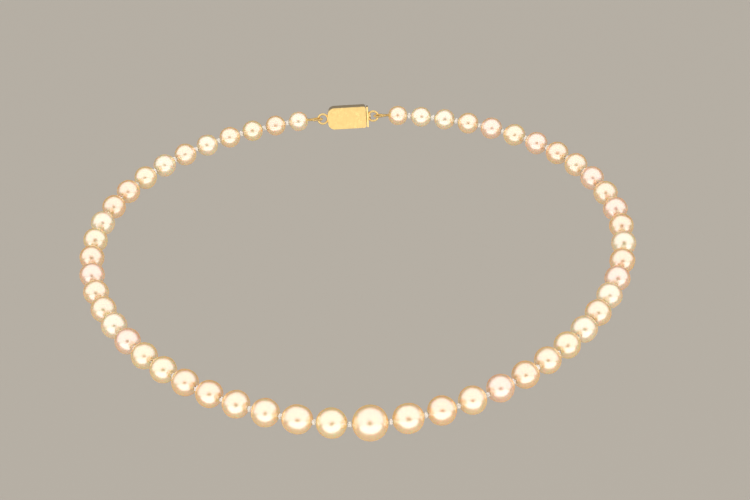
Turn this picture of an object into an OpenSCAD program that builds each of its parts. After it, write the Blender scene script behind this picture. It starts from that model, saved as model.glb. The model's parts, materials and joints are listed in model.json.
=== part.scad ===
// Graduated, individually knotted pearl necklace, closed by a box clasp.
// It stands as it is worn: the large pearl at the front (-Y), the clasp at the
// nape (+Y), +Z up, and the origin in the middle of the neck opening.
// Left (-X) and right (+X) are as seen from the front. Millimetres.

/* [Pearls] */
// Diameter of the large centre pearl
centre_pearl_d = 8.5; // [8:0.1:8.8]
// Diameter that the side pearls settle to after the first few
shoulder_pearl_d = 6.55; // [6.3:0.05:6.8]
// Diameter of the last pearl, beside the clasp
end_pearl_d = 5; // [4.8:0.1:5.4]
// How much larger than the shoulder size the first side pearls are
front_extra_d = 0.72; // [0.5:0.02:0.9]
// How late the side pearls shrink towards the clasp
taper_power = 2.2; // [1.8:0.1:2.6]
// Diameter of the hole drilled through each pearl
drill_d = 0.8; // [0.78:0.01:0.84]

/* [Silk] */
// Space between two pearls, which a knot fills
knot_gap = 1.05; // [1.04:0.01:1.2]
// Diameter of the doubled silk inside the pearls
silk_d = 0.64; // [0.62:0.01:0.66]
// Diameter of a knot
knot_d = 1; // [0.96:0.01:1]

/* [Loop] */
// Depth of the loop from front to nape, as a share of its width
depth_share = 0.873; // [0.82:0.001:0.95]
// Height of the nape above the front, as a share of the width
rise_share = 0.388; // [0.34:0.001:0.44]
// Dip of the sides over the collarbones, as a share of the width
dip_share = 0.027; // [0:0.001:0.04]
// How much wider the loop is behind its middle than in front of it
nape_swell = 0.15; // [0.05:0.01:0.2]
// Shape of the rise, under 1 lifts the sides early
rise_power = 0.91; // [0.85:0.01:1.1]

/* [Clasp] */
// Height of the clasp box, along Z
box_h = 5.6; // [5.2:0.1:6.4]
// Thickness of the box's sheet metal
wall = 0.4; // [0.35:0.05:0.4]
// Width of the tongue that slides into the box
tongue_w = 3; // [2.8:0.1:3.1]
// Diameter of the wire of the two end rings
ring_wire_d = 0.56; // [0.5:0.02:0.58]
// Outer diameter of the coiled wire sleeve on the silk's end loops
sleeve_d = 0.64; // [0.6:0.02:0.66]

/* [Hidden] */
$fn = 48;
SIDE_PEARLS = 26;
GROUPS = 12;
CURVE_STEPS = 720;

pearl_colour = [0.95, 0.89, 0.79];
silk_colour = [0.97, 0.95, 0.9];
gold_colour = [0.86, 0.69, 0.36];

// ---- clasp sizes along X, from the middle of the nape ----
box_left = -5.3;
box_right = 4.7;
plate_gap = 0.1;
plate_t = 0.5;
ring_x = 6.55;
ring_r = 1.25;
loop_x = 8.05;
loop_r = 1.15;
reach = 10.5;

// ---- clasp sizes along Y, from the line through both end rings ----
back_y = -1.1;
floor_y = back_y + wall;
front_y = 2.9;
leaf_y = -0.3;
leaf_t = 0.4;
mouth_top = 1.35;
fold_x = -2.4;
fold_y = 0.25;
fold_r = 0.35;
shoulder_x = 4.1;
shoulder_y = 1.9;
mouth_w = tongue_w + 0.6;
thumb_w = 1.6;

// ---- the line of the strand ----

// A point on the loop of unit width; t is 0 at the front and 180 at the nape.
function loop_point(t) = [
    0.5 * sin(t) * (1 - nape_swell * cos(t)),
    -0.5 * depth_share * cos(t),
    rise_share * (pow((1 - cos(t)) / 2, rise_power) - 0.5)
        - dip_share * pow(sin(t), 2)
];

curve = [for (i = [0:CURVE_STEPS]) loop_point(i * 180 / CURVE_STEPS)];

// The length of the unit loop from the front to each point of the curve.
curve_s = [
    for (
        i = 0, s = 0;
        i <= CURVE_STEPS;
        s = s + norm(curve[min(i + 1, CURVE_STEPS)] - curve[i]), i = i + 1
    ) s
];
turn_at = [for (i = [0:CURVE_STEPS]) [curve_s[i], i * 180 / CURVE_STEPS]];

// Diameter of pearl k, counted from the centre pearl, which is 0.
function pearl_d(k) = k == 0
    ? centre_pearl_d
    : end_pearl_d
        + (shoulder_pearl_d - end_pearl_d) * (1 - pow(k / SIDE_PEARLS, taper_power))
        + front_extra_d * exp(-(k - 1) / 2);

// Distance along the strand from the middle of the front to each knot.
knot_s = [
    for (
        k = 0, s = (centre_pearl_d + knot_gap) / 2;
        k < SIDE_PEARLS;
        k = k + 1, s = s + pearl_d(k) + knot_gap
    ) s
];
strand_s = knot_s[SIDE_PEARLS - 1] + knot_gap / 2 + pearl_d(SIDE_PEARLS);

// The loop is as wide as the strand and the clasp make it.
loop_w = (strand_s + reach) / curve_s[CURVE_STEPS];

function on_loop(s) = loop_w * loop_point(lookup(s / loop_w, turn_at));

// Knot k lies behind pearl k, on the right half.
function knot(k) = on_loop(knot_s[k]);
strand_end = on_loop(strand_s);

function unit(v) = v / norm(v);
function pearl_axis(k) = k < SIDE_PEARLS
    ? unit(knot(k) - knot(k - 1))
    : unit(strand_end - knot(k - 1));
function pearl_centre(k) = k < SIDE_PEARLS
    ? (knot(k) + knot(k - 1)) / 2
    : strand_end - pearl_axis(k) * pearl_d(k) / 2;

// Groups 1 to 10 hold two pearls each, and the last two hold three.
function first_pearl(group) = group <= 10 ? 2 * group - 1 : 3 * group - 12;
function last_pearl(group) = group <= 10 ? 2 * group : 3 * group - 10;

// ---- shared shapes ----

module on_side(side) {
    if (side < 0) mirror([1, 0, 0]) children();
    else children();
}

// Turns what is drawn along +Z to point along a unit vector.
module aimed(along) {
    rotate([0, acos(along[2]), atan2(along[1], along[0])]) children();
}

module rod(from, to, d) {
    translate(from) aimed(unit(to - from)) cylinder(d = d, h = norm(to - from));
}

// A drilled pearl with its hole along the strand.
module pearl(centre, along, d) {
    translate(centre)
        aimed(along)
            difference() {
                sphere(d = d);
                cylinder(d = drill_d, h = 1.2 * d, center = true);
            }
}

// A plain knot, a ball of silk.
module silk_knot(at, along) {
    translate(at) aimed(along) rotate([0, 0, 35]) sphere(d = knot_d);
}

// A knot that the strand bends about: a short roll of silk along X. It is
// shortest where it lies aslant, so that it stays between its two pearls.
module roll_knot(at, along) {
    across = sqrt(1 - along[0] * along[0]);
    roll_d = knot_d - 0.12;
    room = (knot_gap - roll_d * across) / 2 / max(0.05, abs(along[0]));
    half = min(0.5, max(0.28, room));
    translate(at) rotate([0, 90, 0]) cylinder(d = roll_d, h = 2 * half, center = true);
}

// The pearls of one group, each a separate solid.
module pearl_group(group, side) {
    color(pearl_colour)
        on_side(side)
            for (k = [first_pearl(group):last_pearl(group)])
                pearl(pearl_centre(k), pearl_axis(k), pearl_d(k));
}

// The silk of one group, from the far face of the knot before it.
module silk_run(group, side) {
    first = first_pearl(group);
    last = last_pearl(group);
    color(silk_colour)
        on_side(side)
            union() {
                for (k = [first:last]) {
                    start = knot(k - 1) + (k == first ? knot_gap / 2 + 0.01 : 0) * pearl_axis(k);
                    finish = k < SIDE_PEARLS ? knot(k) : strand_end;
                    rod(start, finish, silk_d);
                    if (k < last)
                        silk_knot(knot(k), unit(pearl_axis(k) + pearl_axis(k + 1)));
                    else if (k < SIDE_PEARLS)
                        roll_knot(knot(k), unit(pearl_axis(k) + pearl_axis(k + 1)));
                }
                if (last == SIDE_PEARLS)
                    translate([0, strand_end[1], strand_end[2]]) end_loop(sleeve_d / 2, 0.4);
            }
}

// The loop at the strand's end, which passes through an end ring, with the
// neck that joins it to the last pearl. It lies flat, in the XY plane.
module end_loop(d, past = 0) {
    tip_x = strand_end[0] - 0.12 + past;
    translate([loop_x, 0, 0])
        rotate([0, 0, 110])
            rotate_extrude() translate([loop_r, 0]) circle(d = d);
    rod([loop_x + loop_r, 0, 0], [tip_x, 0, 0], d);
}

// Moves the clasp's parts to the nape.
module at_nape() {
    translate([0, strand_end[1], strand_end[2]]) children();
}

// A flat outline in the XZ plane, drawn out along Y from low to high.
module drawn_out(low, high) {
    translate([0, high, 0]) rotate([90, 0, 0]) linear_extrude(high - low) children();
}

// The clasp's outline: wide round corners at the ring end, small at the mouth.
module box_outline(inset) {
    left = box_left + inset;
    right = box_right - inset;
    half = box_h / 2 - inset;
    big = 1.8 - inset;
    small = 0.6 - inset / 2;
    union() {
        translate([left + big, -half]) square([right - left - big - small, 2 * half]);
        translate([left, big - half]) square([big * 2, 2 * (half - big)]);
        translate([right - 2 * small, small - half]) square([2 * small, 2 * (half - small)]);
        for (way = [-1, 1]) {
            translate([left + big, way * (half - big)]) circle(r = big);
            translate([right - small, way * (half - small)]) circle(r = small);
        }
    }
}

// An end ring, soldered flat against the metal that it stands on.
module end_ring(side) {
    color(gold_colour)
        at_nape()
            on_side(side)
                difference() {
                    translate([ring_x, 0, 0])
                        rotate([90, 0, 0])
                            rotate_extrude()
                                translate([ring_r, 0]) circle(d = ring_wire_d);
                    translate([0, -3, -3]) cube([-box_left, 6, 6]);
                }
}

// ---- the strand ----

module centre_pearl() {
    middle = [0, knot(0)[1], knot(0)[2]];
    color(pearl_colour) pearl(middle, [1, 0, 0], centre_pearl_d);
}

// The silk through the centre pearl, with a knot at each side of it.
module front_silk() {
    color(silk_colour)
        union() {
            rod([-knot(0)[0], knot(0)[1], knot(0)[2]], knot(0), silk_d);
            for (side = [-1, 1])
                on_side(side)
                    translate(knot(0)) cylinder(d = knot_d - 0.12, h = knot_d, center = true);
        }
}

module left_pearls(group) pearl_group(group, -1);
module right_pearls(group) pearl_group(group, 1);
module left_silk(group) silk_run(group, -1);
module right_silk(group) silk_run(group, 1);

// The coiled wire that sheathes the silk's end loop where it wears on the ring.
module wire_sleeve(side) {
    color(gold_colour)
        at_nape()
            on_side(side)
                difference() {
                    end_loop(sleeve_d);
                    end_loop(sleeve_d / 2 + 0.04, 0.4);
                }
}
module left_wire_sleeve() wire_sleeve(-1);
module right_wire_sleeve() wire_sleeve(1);

// ---- the box half of the clasp ----

// The hollow box, open at the back, with a mouth for the tongue.
module clasp_box() {
    color(gold_colour)
        at_nape()
            difference() {
                drawn_out(floor_y, front_y) box_outline(0);
                drawn_out(floor_y - 1, front_y - wall) box_outline(wall);
                translate([box_right - 2 * wall, floor_y - 1, -mouth_w / 2])
                    cube([3 * wall, mouth_top - floor_y + 1, mouth_w]);
            }
}

// The plate that closes the back of the box and lies against the neck.
module clasp_back_plate() {
    color(gold_colour) at_nape() drawn_out(back_y, floor_y) box_outline(0);
}

module box_end_ring() end_ring(-1);

// ---- the tongue half of the clasp ----

// The flat lower leaf of the tongue.
module clasp_tongue() {
    start = fold_x + 0.4;
    finish = box_right + plate_gap;
    color(gold_colour)
        at_nape()
            translate([start, leaf_y, -tongue_w / 2])
                cube([finish - start, leaf_t, tongue_w]);
}

// The plate that meets the mouth, notched for the thumb piece.
module tongue_end_plate() {
    color(gold_colour)
        at_nape()
            difference() {
                translate([box_right + plate_gap, back_y, 0.1 - box_h / 2])
                    cube([plate_t, 1.1 - back_y, box_h - 0.2]);
                translate([box_right, leaf_y + leaf_t, -thumb_w / 2 - 0.2])
                    cube([3 * plate_t, 3, thumb_w + 0.4]);
            }
}

module tongue_end_ring() end_ring(1);

// The springy upper leaf: it turns at the fold, and its far edge catches
// behind the lip over the mouth.
module catch_leaf() {
    color(gold_colour)
        at_nape()
            union() {
                translate([fold_x, fold_y, 0])
                    cylinder(r = fold_r, h = tongue_w, center = true);
                translate([0, 0, -tongue_w / 2])
                    linear_extrude(tongue_w)
                        polygon([
                            [fold_x, fold_y],
                            [fold_x, fold_y + fold_r],
                            [shoulder_x, shoulder_y],
                            [shoulder_x, shoulder_y - 0.3],
                            [fold_x + 0.2, fold_y]
                        ]);
            }
}

// The tab that is soldered under the leaf, comes out of the mouth and is
// pressed to let the tongue go.
module thumb_piece() {
    under = (shoulder_y - 0.3 - fold_y) / (shoulder_x - fold_x - 0.2);
    tab_x = box_right + plate_gap + 0.18;
    edge_x = box_right + plate_gap + plate_t;
    low = leaf_y + leaf_t + 0.78;
    function under_leaf(x) = fold_y + under * (x - fold_x - 0.2);
    color(gold_colour)
        at_nape()
            translate([0, 0, -thumb_w / 2])
                linear_extrude(thumb_w)
                    polygon([
                        [2.2, under_leaf(2.2)],
                        [3.6, under_leaf(3.6)],
                        [shoulder_x, low + 0.32],
                        [tab_x, low + 0.32],
                        [tab_x, 2.6],
                        [edge_x + 0.6, 2.6],
                        [edge_x + 0.6, low + 0.42],
                        [edge_x, low + 0.42],
                        [edge_x, low + 0.22],
                        [edge_x - 0.22, low],
                        [3.4, low],
                        [2.2, low + 0.02]
                    ]);
}

centre_pearl();
front_silk();
for (i = [1:GROUPS]) {
    left_pearls(i);
    right_pearls(i);
    left_silk(i);
    right_silk(i);
}
left_wire_sleeve();
right_wire_sleeve();
clasp_box();
clasp_back_plate();
box_end_ring();
clasp_tongue();
tongue_end_plate();
tongue_end_ring();
catch_leaf();
thumb_piece();
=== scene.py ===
"""The looks of a graduated, knotted pearl necklace with a push-in box clasp.

Every pearl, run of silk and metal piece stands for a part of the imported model
and rides on its body. Lengths of the making are in millimetres, and each piece
is brought to metres when it is put in its place.
"""

import json
import logging
import math
import random
from dataclasses import dataclass, field
from enum import Enum

import bmesh
import bpy
from mathutils import Matrix, Vector, noise


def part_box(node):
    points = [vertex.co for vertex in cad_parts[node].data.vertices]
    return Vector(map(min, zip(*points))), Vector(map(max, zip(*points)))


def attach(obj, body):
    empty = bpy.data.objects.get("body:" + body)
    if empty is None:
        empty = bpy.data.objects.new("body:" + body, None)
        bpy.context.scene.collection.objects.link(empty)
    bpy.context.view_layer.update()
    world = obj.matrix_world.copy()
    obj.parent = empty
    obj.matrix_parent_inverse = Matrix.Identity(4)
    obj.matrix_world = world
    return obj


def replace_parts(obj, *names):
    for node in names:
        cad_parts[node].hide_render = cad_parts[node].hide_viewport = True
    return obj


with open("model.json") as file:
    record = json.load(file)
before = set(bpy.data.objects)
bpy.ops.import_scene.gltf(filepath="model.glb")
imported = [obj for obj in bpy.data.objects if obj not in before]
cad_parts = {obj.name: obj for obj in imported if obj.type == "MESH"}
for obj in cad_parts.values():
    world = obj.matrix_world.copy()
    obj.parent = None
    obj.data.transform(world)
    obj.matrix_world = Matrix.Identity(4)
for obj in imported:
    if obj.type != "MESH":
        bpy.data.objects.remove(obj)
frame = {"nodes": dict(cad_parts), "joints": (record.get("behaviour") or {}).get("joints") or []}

MM = 0.001
WELD = 1e-6
log = logging.getLogger("necklace")


# ---------------------------------------------------------------- finishes


class Nodes:
    """A short way to lay and join the nodes of one material."""

    def __init__(self, name: str) -> None:
        """Starts a material with a Principled surface.

        Args:
            name: The material's name.
        """
        self.material = bpy.data.materials.new(name)
        self.material.use_nodes = True
        self.tree = self.material.node_tree
        self.surface = self.tree.nodes["Principled BSDF"]
        self.coords = self.tree.nodes.new("ShaderNodeTexCoord")

    def add(self, kind: str, values: dict | None = None, **settings: object) -> bpy.types.Node:
        """Adds a node.

        Args:
            kind: The node's type, without its "ShaderNode" prefix.
            values: Constants for its inputs, by socket name.
            **settings: Its other properties.

        Returns:
            The new node.
        """
        node = self.tree.nodes.new("ShaderNode" + kind)
        for key, value in settings.items():
            setattr(node, key, value)
        for key, value in (values or {}).items():
            node.inputs[key].default_value = value
        return node

    def join(self, out: bpy.types.NodeSocket, into: bpy.types.NodeSocket) -> None:
        """Links an output to an input."""
        self.tree.links.new(out, into)

    def set(self, **values: object) -> None:
        """Sets constants on the surface; an underscore in a name stands for a space."""
        for key, value in values.items():
            self.surface.inputs[key.replace("_", " ")].default_value = value

    def speckle(self, scale: float, detail: float = 2.0, rough: float = 0.5) -> bpy.types.NodeSocket:
        """A noise pattern on the object's own coordinates.

        Args:
            scale: Features per metre.
            detail: Octaves of finer noise.
            rough: How strong the finer octaves are.

        Returns:
            The pattern, from 0 to 1.
        """
        node = self.add("TexNoise", {"Scale": scale, "Detail": detail, "Roughness": rough})
        self.join(self.coords.outputs["Object"], node.inputs["Vector"])
        return node.outputs["Fac"]

    def spread(self, value: bpy.types.NodeSocket, low: float, high: float) -> bpy.types.NodeSocket:
        """Maps the middle of a noise pattern onto a range.

        Args:
            value: The pattern.
            low: The result where the pattern is weak.
            high: The result where it is strong.

        Returns:
            The mapped value.
        """
        node = self.add("MapRange", {"From Min": 0.3, "From Max": 0.7, "To Min": low, "To Max": high})
        self.join(value, node.inputs["Value"])
        return node.outputs["Result"]

    def blend(
        self,
        share: bpy.types.NodeSocket,
        first: bpy.types.NodeSocket | tuple,
        second: bpy.types.NodeSocket | tuple,
        how: str = "MIX",
    ) -> bpy.types.NodeSocket:
        """Mixes two colours.

        Args:
            share: How much of the second colour shows.
            first: The first colour, a socket or three numbers.
            second: The second colour.
            how: The blend type.

        Returns:
            The mixed colour.
        """
        node = self.add("Mix", data_type="RGBA", blend_type=how)
        self.join(share, node.inputs["Factor"])
        for name, colour in (("A", first), ("B", second)):
            socket = next(s for s in node.inputs if s.name == name and s.type == "RGBA")
            if isinstance(colour, tuple):
                socket.default_value = (*colour, 1.0)
            else:
                self.join(colour, socket)
        return next(s for s in node.outputs if s.type == "RGBA")

    def relief(
        self, height: bpy.types.NodeSocket, depth: float, strength: float, under: bpy.types.Node | None = None
    ) -> bpy.types.Node:
        """Adds a bump to the surface.

        Args:
            height: The height pattern.
            depth: What a height of 1 stands for, in metres.
            strength: How much of the bump shows.
            under: A bump that this one lies on.

        Returns:
            The bump node.
        """
        node = self.add("Bump", {"Strength": strength, "Distance": depth})
        self.join(height, node.inputs["Height"])
        if under is not None:
            self.join(under.outputs["Normal"], node.inputs["Normal"])
        self.join(node.outputs["Normal"], self.surface.inputs["Normal"])
        return node


class Overtone(Enum):
    """The body colours of the pearls, as linear red, green and blue."""

    CREAM = (0.98, 0.56, 0.12)
    GOLD = (0.97, 0.50, 0.06)
    GREEN_GOLD = (0.92, 0.60, 0.12)
    ROSE = (0.98, 0.49, 0.20)
    IVORY = (0.96, 0.66, 0.27)


@dataclass(frozen=True)
class Nacre:
    """The layered, glowing skin of a pearl. Patterns are in features per metre, depths in metres."""

    sheen_colour: tuple[float, float, float] = (1.0, 0.56, 0.14)
    mottle: tuple[float, float, float] = (0.93, 0.76, 0.50)
    growth_tint: tuple[float, float, float] = (1.0, 0.88, 0.72)
    clouds: float = 420.0
    cloud_share: float = 0.2
    growth_bands: float = 5.0
    growth_share: float = 0.16
    grain: float = 2200.0
    cloud_depth: float = 0.00008
    grain_depth: float = 0.000004
    relief_share: float = 0.5

    def make(self) -> bpy.types.Material:
        """Builds the material, which reads each pearl's own colour.

        Returns:
            The material.
        """
        mat = Nodes("nacre")
        body = mat.add("Attribute", attribute_name="overtone")
        ring = mat.add("Attribute", attribute_name="growth")
        cloud = mat.spread(mat.speckle(self.clouds, 1.5), 0.0, self.cloud_share)
        tone = mat.blend(cloud, body.outputs["Color"], self.mottle, "MULTIPLY")
        bands = mat.add("TexNoise", {"Scale": self.growth_bands, "Detail": 2.0}, noise_dimensions="1D")
        mat.join(ring.outputs["Fac"], bands.inputs["W"])
        band = mat.spread(bands.outputs["Fac"], 0.0, self.growth_share)
        tone = mat.blend(band, tone, self.growth_tint, "MULTIPLY")
        mat.join(tone, mat.surface.inputs["Base Color"])
        soft = mat.relief(mat.speckle(self.clouds, 2.0), self.cloud_depth, self.relief_share)
        mat.relief(mat.speckle(self.grain, 1.0), self.grain_depth, self.relief_share, soft)
        mat.set(
            Roughness=0.27,
            IOR=3.7,
            Specular_IOR_Level=0.9,
            Subsurface_Weight=0.7,
            Subsurface_Radius=(1.0, 0.5, 0.2),
            Subsurface_Scale=0.0025,
            Coat_Weight=0.1,
            Coat_Roughness=0.1,
            Sheen_Weight=0.8,
            Sheen_Roughness=0.35,
            Sheen_Tint=(*self.sheen_colour, 1.0),
        )
        return mat.material


@dataclass(frozen=True)
class Silk:
    """Off-white twisted silk thread."""

    pale: tuple[float, float, float] = (0.97, 0.95, 0.90)
    worn: tuple[float, float, float] = (0.93, 0.90, 0.81)
    fibres: float = 9.0
    fibre_stretch: tuple[float, float, float] = (1.0, 5.0, 1.0)
    fibre_depth: float = 0.00002
    soil: float = 1500.0
    roughness: tuple[float, float] = (0.55, 0.8)

    def make(self) -> bpy.types.Material:
        """Builds the material, whose fibres run along each ply.

        Returns:
            The material.
        """
        mat = Nodes("silk thread")
        fibre = mat.add("TexNoise", {"Scale": self.fibres, "Detail": 3.0})
        stretch = mat.add("Mapping", {"Scale": self.fibre_stretch})
        mat.join(mat.coords.outputs["UV"], stretch.inputs["Vector"])
        mat.join(stretch.outputs["Vector"], fibre.inputs["Vector"])
        colour = mat.blend(mat.spread(mat.speckle(self.soil, 3.0), 0.0, 1.0), self.pale, self.worn)
        mat.join(colour, mat.surface.inputs["Base Color"])
        mat.join(mat.spread(fibre.outputs["Fac"], *self.roughness), mat.surface.inputs["Roughness"])
        mat.relief(fibre.outputs["Fac"], self.fibre_depth, 0.7)
        mat.set(
            Sheen_Weight=0.5,
            Sheen_Roughness=0.4,
            Subsurface_Weight=0.2,
            Subsurface_Radius=(1.0, 0.9, 0.7),
            Subsurface_Scale=0.0004,
        )
        return mat.material


class Polish(Enum):
    """How the gold is worked: lowest and highest roughness, and strength of the brushing."""

    BRIGHT = (0.10, 0.20, 0.0)
    SATIN = (0.26, 0.40, 1.0)


@dataclass(frozen=True)
class Gold:
    """Yellow gold with fine handling marks, brushed along the clasp's length."""

    polish: Polish
    bright: tuple[float, float, float] = (0.91, 0.66, 0.27)
    dull: tuple[float, float, float] = (0.76, 0.50, 0.19)
    marks: float = 1800.0
    marks_share: float = 0.3
    brush: float = 1500.0
    brush_stretch: tuple[float, float, float] = (0.06, 1.0, 1.0)
    brush_depth: float = 0.000006

    def make(self) -> bpy.types.Material:
        """Builds the material.

        Returns:
            The material.
        """
        low, high, brushing = self.polish.value
        mat = Nodes("gold " + self.polish.name.lower())
        marks = mat.speckle(self.marks, 4.0)
        colour = mat.blend(mat.spread(marks, 0.0, self.marks_share), self.bright, self.dull)
        mat.join(colour, mat.surface.inputs["Base Color"])
        mat.join(mat.spread(marks, low, high), mat.surface.inputs["Roughness"])
        lines = mat.add("TexNoise", {"Scale": self.brush, "Detail": 3.0})
        stretch = mat.add("Mapping", {"Scale": self.brush_stretch})
        mat.join(mat.coords.outputs["Object"], stretch.inputs["Vector"])
        mat.join(stretch.outputs["Vector"], lines.inputs["Vector"])
        mat.relief(lines.outputs["Fac"], self.brush_depth, 0.15 + 0.5 * brushing)
        mat.set(Metallic=1.0)
        return mat.material


# ---------------------------------------------------------------- shared making


def finished(
    name: str, bm: bmesh.types.BMesh, finish: bpy.types.Material, body: str
) -> bpy.types.Object:
    """Turns a built mesh into a piece that rides on a body.

    Args:
        name: The piece's name.
        bm: The mesh, in metres and in its place. It is freed.
        finish: The piece's material.
        body: The body that the piece rides on.

    Returns:
        The piece.
    """
    mesh = bpy.data.meshes.new(name)
    bm.to_mesh(mesh)
    bm.free()
    mesh.materials.append(finish)
    piece = bpy.data.objects.new(name, mesh)
    bpy.context.scene.collection.objects.link(piece)
    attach(piece, body)
    log.info("%s rides on %s, %d faces", name, body, len(mesh.polygons))
    return piece


def facing(along: Vector) -> Matrix:
    """A turn that takes +Z onto a direction.

    Args:
        along: The direction.

    Returns:
        The turn, as a 4 by 4 matrix.
    """
    return along.to_track_quat("Z", "Y").to_matrix().to_4x4()


def bearing(azimuth: float, elevation: float) -> Vector:
    """The direction of a bearing from the front, in degrees.

    Args:
        azimuth: The turn from the front, towards +X.
        elevation: The rise above the floor's plane.

    Returns:
        The direction, one unit long.
    """
    turn, rise = math.radians(azimuth), math.radians(elevation)
    return Vector((math.sin(turn) * math.cos(rise), -math.cos(turn) * math.cos(rise), math.sin(rise)))


def placed(centre: Vector, along: Vector) -> Matrix:
    """The place of a piece made in millimetres about the origin, with +Z as its length.

    Args:
        centre: Where its middle goes, in metres.
        along: Where its +Z points.

    Returns:
        The whole transform, the scale to metres included.
    """
    return Matrix.Translation(centre) @ facing(along) @ Matrix.Scale(MM, 4)


def smooth(bm: bmesh.types.BMesh) -> None:
    """Shades every face of a mesh smooth."""
    for face in bm.faces:
        face.smooth = True


def add_tube(bm: bmesh.types.BMesh, path: list[Vector], radius: float, sides: int = 6) -> None:
    """Sweeps a round tube along a path and adds it to a mesh.

    Args:
        bm: The mesh that gets the tube.
        path: Points along the middle of the tube.
        radius: The tube's radius, in the path's own unit.
        sides: How many sides the tube has, an even number.
    """
    curve = bpy.data.curves.new("path", "CURVE")
    curve.dimensions = "3D"
    curve.bevel_depth = radius
    curve.bevel_resolution = sides // 2 - 2
    curve.use_fill_caps = True
    spline = curve.splines.new("POLY")
    spline.points.add(len(path) - 1)
    for point, place in zip(spline.points, path):
        point.co = (*place, 1.0)
    holder = bpy.data.objects.new("path", curve)
    bpy.context.scene.collection.objects.link(holder)
    mesh = bpy.data.meshes.new_from_object(holder.evaluated_get(bpy.context.evaluated_depsgraph_get()))
    bm.from_mesh(mesh)
    bpy.data.objects.remove(holder)
    bpy.data.curves.remove(curve)
    bpy.data.meshes.remove(mesh)


def plies(path: list[Vector], offset: float, pitch: float, count: int = 2) -> list[list[Vector]]:
    """Twists plies round a path.

    Args:
        path: Points along the middle of the thread.
        offset: How far each ply's middle lies from it.
        pitch: The length of one full twist.
        count: How many plies there are.

    Returns:
        The path of each ply.
    """
    last = len(path) - 1
    ways = [(path[min(i + 1, last)] - path[max(i - 1, 0)]).normalized() for i in range(last + 1)]
    side = ways[0].orthogonal().normalized()
    run = 0.0
    twisted: list[list[Vector]] = [[] for _ in range(count)]
    for i, (point, way) in enumerate(zip(path, ways)):
        side = (side - way * side.dot(way)).normalized()
        run += (point - path[i - 1]).length if i else 0.0
        for ply in range(count):
            angle = math.tau * (run / pitch + ply / count)
            around = side * math.cos(angle) + way.cross(side) * math.sin(angle)
            twisted[ply].append(point + offset * around)
    return twisted


# ---------------------------------------------------------------- the strand's frame


@dataclass
class Group:
    """The pearls and silk of one body of the strand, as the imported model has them."""

    side: str
    number: int
    start: Vector
    end: Vector
    centres: list[Vector] = field(default_factory=list)
    radii: list[float] = field(default_factory=list)
    knots: list[Vector] = field(default_factory=list)

    @property
    def body(self) -> str:
        """The body's name."""
        return f"{self.side}_{self.number}"

    def read(self) -> None:
        """Reads the pearls from their node, and works out the knots between them."""
        found = solids_of(f"{self.side}_pearls_{self.number}")
        found.sort(key=lambda pearl: (pearl[0] - self.start).length)
        self.centres = [centre for centre, _ in found]
        self.radii = [radius for _, radius in found]
        self.knots = [self.start]
        for centre in self.centres:
            self.knots.append(2 * centre - self.knots[-1])
        self.knots[-1] = self.end


def solids_of(node: str) -> list[tuple[Vector, float]]:
    """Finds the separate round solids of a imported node.

    Args:
        node: The node's name.

    Returns:
        The centre and the largest radius of each solid, in metres.
    """
    bm = bmesh.new()
    bm.from_mesh(frame["nodes"][node].data)
    bmesh.ops.remove_doubles(bm, verts=bm.verts, dist=WELD)
    left = set(bm.verts)
    found = []
    while left:
        reach = [left.pop()]
        island = list(reach)
        while reach:
            near = {edge.other_vert(vert) for vert in reach for edge in vert.link_edges} & left
            left -= near
            reach = list(near)
            island += reach
        low, high = (Vector(map(pick, *(vert.co for vert in island))) for pick in (min, max))
        centre = (low + high) / 2
        found.append((centre, max((vert.co - centre).length for vert in island)))
    bm.free()
    return found


def joint_place(name: str) -> Vector:
    """The pivot of a joint, in metres."""
    return Vector(next(joint["pos_m"] for joint in frame["joints"] if joint["name"] == name))


def groups_of(side: str) -> list[Group]:
    """Reads one half of the strand, from the front to the clasp.

    Args:
        side: "left" or "right".

    Returns:
        The half's groups, in order.
    """
    count = sum(name.startswith(side + "_pearls_") for name in frame["nodes"])
    folds = [joint_place(f"fold_{side}_{number}") for number in range(1, count)]
    pivots = [joint_place(f"{side}_swing"), *folds, joint_place(f"clasp_turn_{side}")]
    groups = [Group(side, i + 1, pivots[i], pivots[i + 1]) for i in range(count)]
    for group in groups:
        group.read()
    return groups


# ---------------------------------------------------------------- pearls


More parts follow.
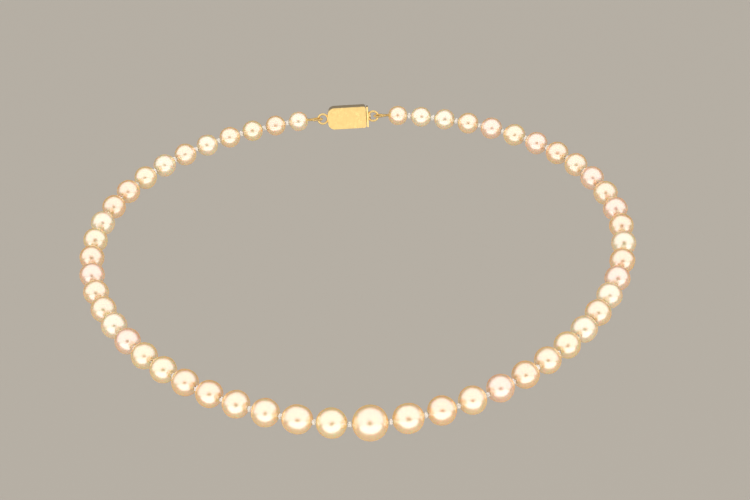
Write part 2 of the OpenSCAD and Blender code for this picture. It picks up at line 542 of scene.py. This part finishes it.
@dataclass
class Pearl:
    """One drilled pearl, a little out of round, in millimetres about the origin."""

    name: str
    radius: float
    overtone: Overtone
    seed: int
    drill: float = 0.4
    rim_round: float = 0.1
    rim_blend: float = 0.8
    wall_cuts: int = 5
    weld: float = 1e-4
    stretch: float = 1.0
    around: int = 48
    along: int = 34
    swell: float = 0.026
    swell_pattern: float = 1.2
    ripples: float = 0.006
    ripple_pattern: float = 3.5
    dimples: int = 4
    dimple_depth: float = 0.007
    dimple_width: tuple[float, float] = (0.14, 0.3)

    def outline(self, bm: bmesh.types.BMesh) -> None:
        """Draws half of the pearl's outline and the wall of its hole, closed.

        Args:
            bm: The mesh that gets the outline, in the XZ plane.
        """
        rim = math.asin(self.drill / self.radius)
        seed = bm.verts.new((self.drill, 0.0, self.radius * math.cos(rim)))
        bmesh.ops.spin(
            bm,
            geom=[seed],
            cent=(0, 0, 0),
            axis=(0, 1, 0),
            dvec=(0, 0, 0),
            angle=math.pi - 2 * rim,
            steps=self.along,
        )
        first = max(bm.verts, key=lambda vert: vert.co.z)
        last = min(bm.verts, key=lambda vert: vert.co.z)
        bm.edges.new((last, first))
        bmesh.ops.bevel(
            bm,
            geom=[first, last],
            offset=self.rim_round,
            segments=3,
            profile=0.5,
            affect="VERTICES",
            material=-1,
        )
        wall = max(bm.edges, key=lambda edge: edge.calc_length())
        bmesh.ops.subdivide_edges(bm, edges=[wall], cuts=self.wall_cuts)

    def ripple(self, bm: bmesh.types.BMesh) -> None:
        """Gives the skin its slow swells, faint ripples and a few dimples.

        Args:
            bm: The pearl's mesh.
        """
        dice = random.Random(self.seed)
        drift = Vector(dice.uniform(-50, 50) for _ in range(3))
        dimples = []
        for _ in range(self.dimples):
            centre = Vector(dice.gauss(0, 1) for _ in range(3)).normalized()
            dimples.append((centre, dice.uniform(*self.dimple_width)))
        for vert in bm.verts:
            way = vert.co / vert.co.length
            from_rim = math.hypot(vert.co.x, vert.co.y) - self.drill
            skin = min(1.0, max(0.0, from_rim / self.rim_blend))
            rise = self.swell * noise.noise(way * self.swell_pattern + drift)
            rise += self.ripples * noise.noise(way * self.ripple_pattern + drift)
            for centre, width in dimples:
                rise -= self.dimple_depth * math.exp(-(((way - centre).length / width) ** 2))
            vert.co += way * (self.radius * rise * skin)

    def build(self) -> bmesh.types.BMesh:
        """Builds the pearl.

        Returns:
            The mesh, with its body colour and growth lines as attributes.
        """
        bm = bmesh.new()
        self.outline(bm)
        bmesh.ops.spin(
            bm,
            geom=bm.verts[:] + bm.edges[:],
            cent=(0, 0, 0),
            axis=(0, 0, 1),
            dvec=(0, 0, 0),
            angle=math.tau,
            steps=self.around,
            use_merge=True,
        )
        bmesh.ops.remove_doubles(bm, verts=bm.verts, dist=self.weld)
        bmesh.ops.recalc_face_normals(bm, faces=bm.faces)
        self.ripple(bm)
        bmesh.ops.scale(bm, vec=(1.0, 1.0, self.stretch), verts=bm.verts)
        growth = bm.verts.layers.float.new("growth")
        colour = bm.verts.layers.float_color.new("overtone")
        for vert in bm.verts:
            vert[growth] = self.seed + vert.co.z / self.radius
            vert[colour] = (*self.overtone.value, 1.0)
        smooth(bm)
        return bm

    def put(self, centre: Vector, along: Vector, body: str, node: str, finish: bpy.types.Material) -> None:
        """Builds the pearl in its place, as a piece that stands for its node.

        Args:
            centre: The pearl's middle, in metres.
            along: The direction of its hole.
            body: The body that it rides on.
            node: The node that it stands for.
            finish: Its material.
        """
        bm = self.build()
        bmesh.ops.transform(bm, matrix=placed(centre, along), verts=bm.verts)
        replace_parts(finished(self.name, bm, finish, body), node)


@dataclass
class Matching:
    """How the pearls of one half were matched: their colours and odd shapes, from the front."""

    side: str
    front: tuple[Overtone, ...]
    stretched: dict[int, float]
    seed: int

    def overtone(self, number: int) -> Overtone:
        """The body colour of a pearl.

        Args:
            number: The pearl's number from the front, from 1.

        Returns:
            Its colour, chosen for the front pearls and mixed behind them.
        """
        if number <= len(self.front):
            return self.front[number - 1]
        return random.Random(self.seed + number).choice(list(Overtone))


# ---------------------------------------------------------------- silk


@dataclass
class Thread:
    """The doubled silk of the strand, in millimetres."""

    ply_radius: float = 0.15
    ply_offset: float = 0.15
    twist: float = 2.4
    knot_size: float = 0.36
    knot_ply: float = 0.13
    knot_twist: float = 0.95
    knot_width: float = 1.55
    knot_steps: int = 66
    knot_opening: float = 0.3
    run_step: float = 0.3

    def knot_path(self) -> list[Vector]:
        """The line of one overhand knot: a trefoil opened on the strand's line, which is Z.

        Returns:
            Points along the knot, about its middle.
        """
        path = []
        for i in range(self.knot_steps + 1):
            turn = self.knot_opening + (math.tau - 2 * self.knot_opening) * i / self.knot_steps
            across = (2 + math.cos(3 * turn)) * math.cos(2 * turn) / 3
            rise = (2 + math.cos(3 * turn)) * math.sin(2 * turn) / 3
            depth = math.sin(3 * turn) * 2 / 3
            along = (rise + depth) * math.sqrt(0.5)
            aside = (rise - depth) * math.sqrt(0.5)
            path.append(Vector((across * self.knot_width, aside * self.knot_width, along)) * self.knot_size)
        return path

    def add_knot(self, bm: bmesh.types.BMesh, centre: Vector, along: Vector, turn: float) -> None:
        """Adds a knot to the thread's mesh.

        Args:
            bm: The mesh, in metres.
            centre: The knot's place.
            along: The strand's direction there.
            turn: How far the knot is rolled about the strand, in radians.
        """
        knot = bmesh.new()
        for ply in plies(self.knot_path(), self.knot_ply, self.knot_twist):
            add_tube(knot, ply, self.knot_ply)
        bmesh.ops.rotate(knot, cent=(0, 0, 0), matrix=Matrix.Rotation(turn, 3, "Z"), verts=knot.verts)
        bmesh.ops.transform(knot, matrix=placed(centre, along), verts=knot.verts)
        smooth(knot)
        part = bpy.data.meshes.new("knot")
        knot.to_mesh(part)
        knot.free()
        bm.from_mesh(part)
        bpy.data.meshes.remove(part)

    def add_run(self, bm: bmesh.types.BMesh, stops: list[Vector]) -> None:
        """Adds the twisted plies along a run of straight stretches.

        Args:
            bm: The mesh, in metres.
            stops: Where the stretches start and end, in metres.
        """
        path = [stops[0]]
        for start, end in zip(stops, stops[1:]):
            steps = max(2, round((end - start).length / (self.run_step * MM)))
            path += [start.lerp(end, (i + 1) / steps) for i in range(steps)]
        for ply in plies(path, self.ply_offset * MM, self.twist * MM):
            add_tube(bm, ply, self.ply_radius * MM)


# ---------------------------------------------------------------- the strand


@dataclass
class Strand:
    """The whole knotted strand: its pearls and its silk."""

    nacre: bpy.types.Material
    silk: bpy.types.Material
    thread: Thread = field(default_factory=Thread)
    run_start: float = 0.54
    front_seed: int = 7
    front_rolls: tuple[float, float] = (0.6, 2.4)
    knot_seed: int = 17
    left: Matching = field(
        default_factory=lambda: Matching(
            "left",
            (
                Overtone.GREEN_GOLD,
                Overtone.CREAM,
                Overtone.CREAM,
                Overtone.CREAM,
                Overtone.GOLD,
                Overtone.GOLD,
                Overtone.GREEN_GOLD,
                Overtone.GREEN_GOLD,
                Overtone.ROSE,
                Overtone.IVORY,
                Overtone.CREAM,
                Overtone.CREAM,
                Overtone.ROSE,
            ),
            {2: 1.06},
            100,
        )
    )
    right: Matching = field(
        default_factory=lambda: Matching(
            "right",
            (
                Overtone.CREAM,
                Overtone.GOLD,
                Overtone.CREAM,
                Overtone.ROSE,
                Overtone.GOLD,
                Overtone.CREAM,
                Overtone.GREEN_GOLD,
                Overtone.IVORY,
                Overtone.CREAM,
                Overtone.IVORY,
                Overtone.ROSE,
            ),
            {1: 1.03},
            300,
        )
    )

    def build(self) -> None:
        """Builds the centre pearl, and then both halves."""
        self.build_front()
        for matching in (self.left, self.right):
            groups = groups_of(matching.side)
            number = 1
            for group in groups:
                number = self.build_pearls(group, matching, number)
                self.build_silk(group, group is groups[-1])

    def build_front(self) -> None:
        """Builds the centre pearl and the silk through it."""
        (centre, radius), = solids_of("centre_pearl")
        across = Vector((1, 0, 0))
        pearl = Pearl(
            "centre_pearl_nacre", radius / MM, Overtone.CREAM, self.front_seed, around=64, along=44
        )
        pearl.put(centre, across, "centre", "centre_pearl", self.nacre)
        left, right = joint_place("left_swing"), joint_place("right_swing")
        bm = bmesh.new()
        self.thread.add_run(bm, [left, right])
        for place, turn in zip((left, right), self.front_rolls):
            self.thread.add_knot(bm, place, across, turn)
        smooth(bm)
        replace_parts(finished("front_thread", bm, self.silk, "front"), "front_silk")

    def build_pearls(self, group: Group, matching: Matching, number: int) -> int:
        """Builds the pearls of one group.

        Args:
            group: The group.
            matching: How its half was matched.
            number: The number of its first pearl, from the front.

        Returns:
            The number of the next pearl.
        """
        for i, (centre, radius) in enumerate(zip(group.centres, group.radii)):
            pearl = Pearl(
                f"{group.side}_pearl_{number}",
                radius / MM,
                matching.overtone(number),
                matching.seed + number,
                stretch=matching.stretched.get(number, 1.0),
            )
            along = group.knots[i + 1] - group.knots[i]
            pearl.put(centre, along, group.body, f"{group.side}_pearls_{group.number}", self.nacre)
            number += 1
        return number

    def build_silk(self, group: Group, last: bool) -> None:
        """Builds the silk of one group: its run, and a knot after each pearl.

        Args:
            group: The group.
            last: True for the group beside the clasp, whose last pearl has no knot.
        """
        bm = bmesh.new()
        first = (group.knots[1] - group.knots[0]).normalized() * self.run_start * MM
        self.thread.add_run(bm, [group.knots[0] + first, *group.knots[1:]])
        dice = random.Random(group.number * self.knot_seed + len(group.side))
        stops = group.knots if not last else group.knots[:-1]
        for i in range(1, len(stops)):
            along = group.knots[min(i + 1, len(group.knots) - 1)] - group.knots[i - 1]
            self.thread.add_knot(bm, group.knots[i], along, dice.uniform(0, math.tau))
        if last:
            EndLoop(group).add(bm)
        smooth(bm)
        piece = finished(f"{group.side}_thread_{group.number}", bm, self.silk, group.body)
        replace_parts(piece, f"{group.side}_silk_{group.number}")


@dataclass
class EndLoop:
    """The loop at the end of a half, through the clasp's ring, in millimetres."""

    group: Group
    silk_radius: float = 0.15
    wire: float = 0.065
    coil: float = 0.25
    pitch: float = 0.15
    wire_steps: int = 9
    opening: float = 0.14
    silk_steps: int = 40
    sleeve_steps: int = 48

    def path(self, steps: int) -> list[Vector]:
        """The middle of the loop: round once, and back into the last pearl.

        Args:
            steps: How many steps the round part has.

        Returns:
            Points along the loop, in metres.
        """
        low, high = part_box(f"{self.group.side}_wire_sleeve")
        side = -1 if self.group.side == "left" else 1
        tip = self.group.end
        thick = (high.z - low.z) / 2
        radius = (high.y - low.y) / 2 - thick
        inner = low.x if side > 0 else high.x
        middle = Vector((inner + side * (radius + thick), (low.y + high.y) / 2, tip.z))
        gap = self.opening * math.pi
        beside = Vector((0, self.silk_radius * MM, 0))
        points = [tip + beside]
        for i in range(steps + 1):
            angle = gap + (math.tau - 2 * gap) * i / steps
            points.append(middle + radius * Vector((side * math.cos(angle), math.sin(angle), 0)))
        points.append(tip - beside)
        return points

    def add(self, bm: bmesh.types.BMesh) -> None:
        """Adds the silk of the loop to the thread's mesh.

        Args:
            bm: The mesh, in metres.
        """
        add_tube(bm, self.path(self.silk_steps), self.silk_radius * MM)

    def build_sleeve(self, finish: bpy.types.Material) -> None:
        """Builds the coiled wire that sheathes the loop, turn by turn.

        Args:
            finish: The wire's material.
        """
        line = self.path(self.sleeve_steps)
        length = sum((b - a).length for a, b in zip(line, line[1:])) / MM
        turns = round(length / self.pitch)
        fine = resampled(line, turns * self.wire_steps)
        bm = bmesh.new()
        add_tube(bm, plies(fine, self.coil * MM, self.pitch * MM, 1)[0], self.wire * MM, 4)
        smooth(bm)
        piece = finished(f"{self.group.side}_wire_coil", bm, finish, self.group.body)
        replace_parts(piece, f"{self.group.side}_wire_sleeve")


def resampled(path: list[Vector], steps: int) -> list[Vector]:
    """Lays evenly spaced points along a path.

    Args:
        path: The path.
        steps: How many equal steps the result has.

    Returns:
        The new points, the path's two ends among them.
    """
    runs = [0.0]
    for a, b in zip(path, path[1:]):
        runs.append(runs[-1] + (b - a).length)
    points = []
    at = 0
    for i in range(steps + 1):
        run = runs[-1] * i / steps
        while at < len(path) - 2 and runs[at + 1] < run:
            at += 1
        share = (run - runs[at]) / (runs[at + 1] - runs[at])
        points.append(path[at].lerp(path[at + 1], min(1.0, share)))
    return points


# ---------------------------------------------------------------- clasp


@dataclass
class Clasp:
    """The push-in box clasp, whose sheet metal gets soft edges, in millimetres.

    Each step of the engraved frame is how far in from the last one, and how far up.
    """

    bright: bpy.types.Material
    satin: bpy.types.Material
    edge: float = 0.09
    flat_angle: float = 0.5
    sharp_angle: float = 35.0
    frame_steps: tuple[tuple[float, float], ...] = ((0.22, 0.0), (0.06, -0.08), (0.11, 0.0), (0.05, 0.06))

    def build(self) -> None:
        """Softens the edges of each metal piece and dresses the rings."""
        for node, body, finish in (
            ("clasp_box", "box_half", self.bright),
            ("clasp_back_plate", "box_half", self.satin),
            ("clasp_tongue", "tongue_half", self.satin),
            ("tongue_end_plate", "tongue_half", self.bright),
            ("catch_leaf", "catch", self.satin),
            ("thumb_piece", "catch", self.bright),
        ):
            self.soften(node, body, finish)
        for node in ("box_end_ring", "tongue_end_ring"):
            ring = frame["nodes"][node]
            ring.data.materials.clear()
            ring.data.materials.append(self.bright)
            log.info("%s keeps its shape", node)

    def soften(self, node: str, body: str, finish: bpy.types.Material) -> None:
        """Copies a node's mesh and rounds its sharp edges.

        Args:
            node: The node.
            body: Its body.
            finish: The piece's material.
        """
        bm = bmesh.new()
        bm.from_mesh(frame["nodes"][node].data)
        bmesh.ops.remove_doubles(bm, verts=bm.verts, dist=WELD)
        flat, bend = math.radians(self.flat_angle), math.radians(self.sharp_angle)
        bmesh.ops.dissolve_limit(bm, angle_limit=flat, verts=bm.verts, edges=bm.edges)
        sharp = [edge for edge in bm.edges if edge.is_manifold and edge.calc_face_angle() > bend]
        bmesh.ops.bevel(
            bm,
            geom=sharp,
            offset=self.edge * MM,
            segments=3,
            profile=0.5,
            affect="EDGES",
            clamp_overlap=True,
            material=-1,
        )
        if node == "clasp_box":
            self.engrave(bm)
        smooth(bm)
        piece = finished(node + "_worked", bm, finish, body)
        piece.modifiers.new("faces", "WEIGHTED_NORMAL").keep_sharp = True
        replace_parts(piece, node)

    def engrave(self, bm: bmesh.types.BMesh) -> None:
        """Cuts a plain frame line into the outer face of the box.

        Args:
            bm: The box's mesh, in metres.
        """
        outward = (face for face in bm.faces if face.normal.y > 0.99)
        outer = max(outward, key=lambda face: face.calc_area())
        for width, depth in self.frame_steps:
            bmesh.ops.inset_individual(bm, faces=[outer], thickness=width * MM, depth=depth * MM)


# ---------------------------------------------------------------- studio


@dataclass(frozen=True)
class Panel:
    """A soft light panel that faces the necklace from a bearing in degrees."""

    name: str
    azimuth: float
    height: float
    width: float
    tall: float
    power: float
    away: float = 1.0

    def make(self, target: Vector) -> None:
        """Hangs the panel.

        Args:
            target: The point that it faces.
        """
        light = bpy.data.lights.new(self.name, "AREA")
        light.shape = "ELLIPSE"
        light.size, light.size_y, light.energy = self.width, self.tall, self.power
        holder = bpy.data.objects.new(self.name, light)
        holder.visible_camera = False
        back = bearing(self.azimuth, self.height)
        holder.location = target + back * self.away
        holder.rotation_euler = back.to_track_quat("Z", "Y").to_euler()
        bpy.context.scene.collection.objects.link(holder)


@dataclass
class Studio:
    """The floor, the lights and the camera."""

    floor_drop: float = 0.42
    floor_size: float = 24.0
    elevation: float = 15.0
    azimuth: float = -0.54
    roll: float = -3.26
    distance: float = 0.8
    lens: float = 155.4
    look_at: Vector = field(default_factory=lambda: Vector((0.0043, 0.007, 0.0007)))
    stand: Vector = field(default_factory=lambda: Vector((0.0, 0.0, -0.025)))
    tent: float = 1.26
    tent_edge: tuple[float, float] = (-0.45, 0.10)
    fill: float = 0.26
    lens_hole: float = 0.1
    lens_edge: tuple[float, float] = (0.93, 0.985)
    lens_height: float = 9.0
    backdrop: float = 0.55
    front: Vector = field(default_factory=lambda: Vector((0.0, -0.94, 0.34)))
    low: Panel = Panel("low", azimuth=0, height=-30, width=2.0, tall=0.42, power=2.3, away=0.42)

    def build(self) -> None:
        """Sets up everything that isn't the necklace."""
        self.lay_floor()
        self.low.make(Vector((0, 0, 0)))
        self.hang_tent()
        self.set_camera()
        bpy.context.scene.view_settings.view_transform = "Standard"

    def hang_tent(self) -> None:
        """Hangs a white tent round the front, with a hole for the lens, and a pale backdrop."""
        world = bpy.data.worlds.new("light tent")
        world.use_nodes = True
        tree = world.node_tree
        place = tree.nodes.new("ShaderNodeTexCoord")
        white = self.cap(tree, place, self.front, self.tent_edge, self.fill, self.tent)
        hole = self.cap(tree, place, bearing(0, self.lens_height), self.lens_edge, 1.0, self.lens_hole)
        both = tree.nodes.new("ShaderNodeMath")
        both.operation = "MULTIPLY"
        tree.links.new(white, both.inputs[0])
        tree.links.new(hole, both.inputs[1])
        light = tree.nodes["Background"]
        light.inputs["Color"].default_value = (1.0, 0.98, 0.96, 1.0)
        tree.links.new(both.outputs[0], light.inputs["Strength"])
        seen = tree.nodes.new("ShaderNodeBackground")
        seen.inputs["Color"].default_value = (1.0, 0.95, 0.87, 1.0)
        seen.inputs["Strength"].default_value = self.backdrop
        path = tree.nodes.new("ShaderNodeLightPath")
        mix = tree.nodes.new("ShaderNodeMixShader")
        tree.links.new(path.outputs["Is Camera Ray"], mix.inputs["Fac"])
        tree.links.new(light.outputs["Background"], mix.inputs[1])
        tree.links.new(seen.outputs["Background"], mix.inputs[2])
        tree.links.new(mix.outputs["Shader"], tree.nodes["World Output"].inputs["Surface"])
        bpy.context.scene.world = world

    @staticmethod
    def cap(
        tree: bpy.types.NodeTree,
        place: bpy.types.Node,
        way: Vector,
        edge_at: tuple[float, float],
        outside: float,
        inside: float,
    ) -> bpy.types.NodeSocket:
        """A round part of the surroundings, with a soft edge.

        Args:
            tree: The world's nodes.
            place: Its texture coordinates.
            way: The direction of the cap's middle.
            edge_at: The cosines at which the edge starts and ends, from outside in.
            outside: The value outside the cap.
            inside: The value inside it.

        Returns:
            The value.
        """
        dot = tree.nodes.new("ShaderNodeVectorMath")
        dot.operation = "DOT_PRODUCT"
        tree.links.new(place.outputs["Generated"], dot.inputs[0])
        dot.inputs[1].default_value = way.normalized()
        edge = tree.nodes.new("ShaderNodeMapRange")
        edge.interpolation_type = "SMOOTHSTEP"
        for name, value in zip(("From Min", "From Max", "To Min", "To Max"), (*edge_at, outside, inside)):
            edge.inputs[name].default_value = value
        tree.links.new(dot.outputs["Value"], edge.inputs["Value"])
        return edge.outputs["Result"]

    def lay_floor(self) -> None:
        """Lays a plain pale floor under the strand."""
        bm = bmesh.new()
        bmesh.ops.create_grid(bm, x_segments=1, y_segments=1, size=self.floor_size / 2)
        mesh = bpy.data.meshes.new("floor")
        bm.to_mesh(mesh)
        bm.free()
        floor = bpy.data.objects.new("floor", mesh)
        floor.location.z = -self.floor_drop
        mat = Nodes("pale paper")
        mat.set(Base_Color=(0.46, 0.43, 0.38, 1.0), Roughness=0.9, Specular_IOR_Level=0.1)
        mesh.materials.append(mat.material)
        bpy.context.scene.collection.objects.link(floor)

    def set_camera(self) -> None:
        """Sets the camera in front of and above the strand, a little rolled."""
        data = bpy.data.cameras.new("camera")
        data.lens = self.lens
        data.sensor_width = 36.0
        data.clip_start = 0.01
        camera = bpy.data.objects.new("camera", data)
        camera.location = self.stand + bearing(self.azimuth, self.elevation) * self.distance
        aim = (camera.location - self.look_at).to_track_quat("Z", "Y").to_matrix()
        roll = Matrix.Rotation(math.radians(self.roll), 3, "Z")
        camera.rotation_euler = (aim @ roll).to_euler()
        bpy.context.scene.collection.objects.link(camera)
        bpy.context.scene.camera = camera


def main() -> None:
    """Builds the studio, the strand and the clasp."""
    logging.basicConfig(level=logging.INFO, format="%(name)s: %(message)s")
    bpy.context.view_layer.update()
    Studio().build()
    bright, satin = Gold(Polish.BRIGHT).make(), Gold(Polish.SATIN).make()
    Strand(Nacre().make(), Silk().make()).build()
    for side in ("left", "right"):
        EndLoop(groups_of(side)[-1]).build_sleeve(bright)
    Clasp(bright, satin).build()


if __name__ == "__main__":
    main()
